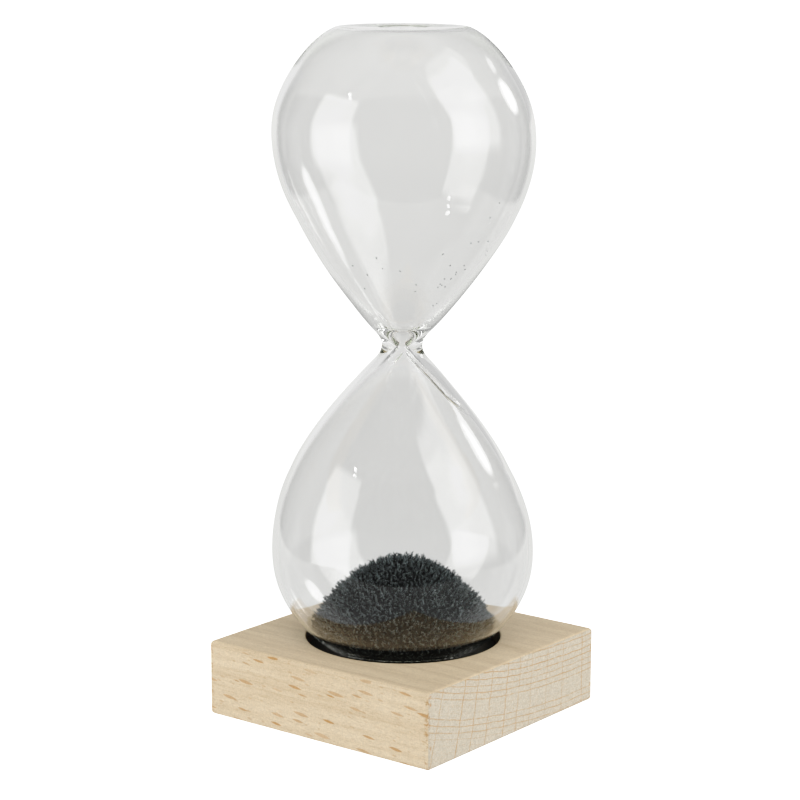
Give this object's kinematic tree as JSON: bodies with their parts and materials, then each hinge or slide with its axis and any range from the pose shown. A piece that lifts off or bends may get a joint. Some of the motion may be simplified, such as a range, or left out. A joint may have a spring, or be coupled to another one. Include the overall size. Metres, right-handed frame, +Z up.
{
  "type": "magnetic sand hourglass",
  "caption": "Blown-glass double bulb part filled with black iron filings, standing loose in the round recess of a square beech block that holds a disc magnet.",
  "frame": {"origin": "middle of the wooden block's underside, on the surface it stands on", "axes": "+Z up through both bulbs; the block's fibre runs along Y, so its faces across -Y and +Y are end grain"},
  "size_m": [0.0642, 0.0642, 0.1594],
  "materials": {
    "beech": "fine sanded, unvarnished natural beech",
    "ferrite": "matte sintered ferrite",
    "glue": "cured epoxy",
    "felt": "black felt",
    "clear_glass": "clear blown glass, faint green in its thick parts",
    "iron_filings": "loose black iron filings"
  },
  "bodies": {
    "base": {"base_block": "beech", "magnet_disc": "ferrite", "magnet_adhesive": "glue", "recess_pad": "felt"},
    "vessel": {"glass_vessel": "clear_glass", "fill_seal": "clear_glass", "iron_filings": "iron_filings", "stray_filings": "iron_filings"}
  },
  "joints": [
    {"name": "vessel_lift", "type": "slide", "parent": "base", "child": "vessel", "axis": [0, 0, 1], "range_m": [0, 0.1]}
  ]
}
